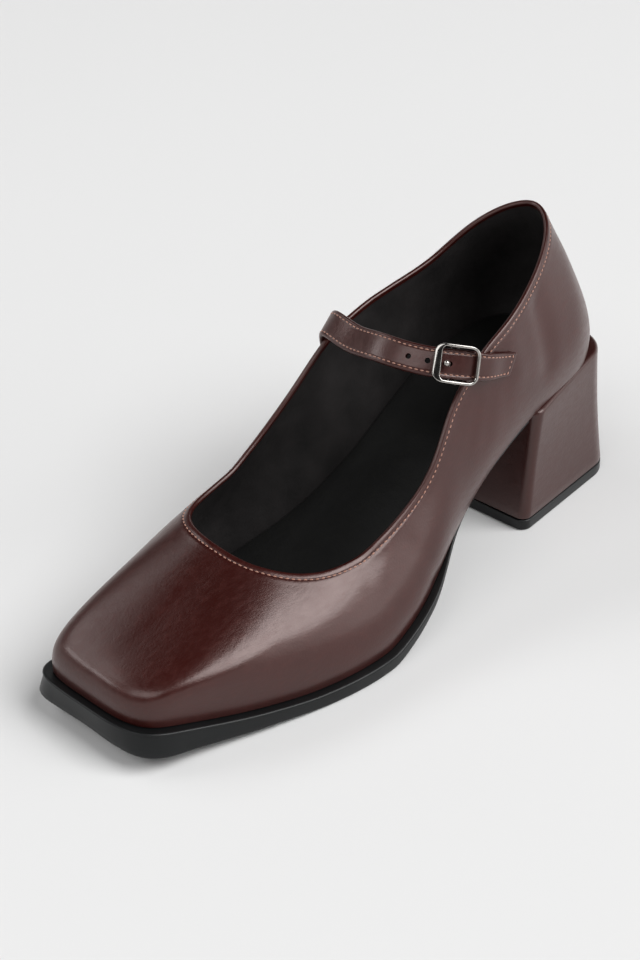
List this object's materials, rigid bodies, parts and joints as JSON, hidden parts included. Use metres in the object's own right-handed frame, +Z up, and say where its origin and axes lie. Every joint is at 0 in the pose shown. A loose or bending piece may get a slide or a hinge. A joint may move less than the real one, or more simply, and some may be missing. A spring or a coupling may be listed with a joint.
{
  "type": "mary jane shoe",
  "caption": "Left mary jane shoe with a square toe, wide open throat, buckled instep strap and covered block heel.",
  "frame": {"origin": "on the floor, below the middle of the shoe's length and width", "axes": "+Z up, -Y towards the toe, +X towards the outer side"},
  "size_m": [0.0888, 0.248, 0.1117],
  "materials": {
    "burgundy_leather": "polished",
    "black_rubber": "satin",
    "black_lining": "matt",
    "nickel": "polished"
  },
  "bodies": {
    "root": {"upper": "burgundy_leather", "outsole": "black_rubber", "insole": "black_lining", "heel_block": "burgundy_leather", "heel_lift": "black_rubber", "strap": "burgundy_leather", "buckle_frame": "nickel", "buckle_prong": "nickel", "buckle_tab": "black_lining"}
  },
  "joints": []
}
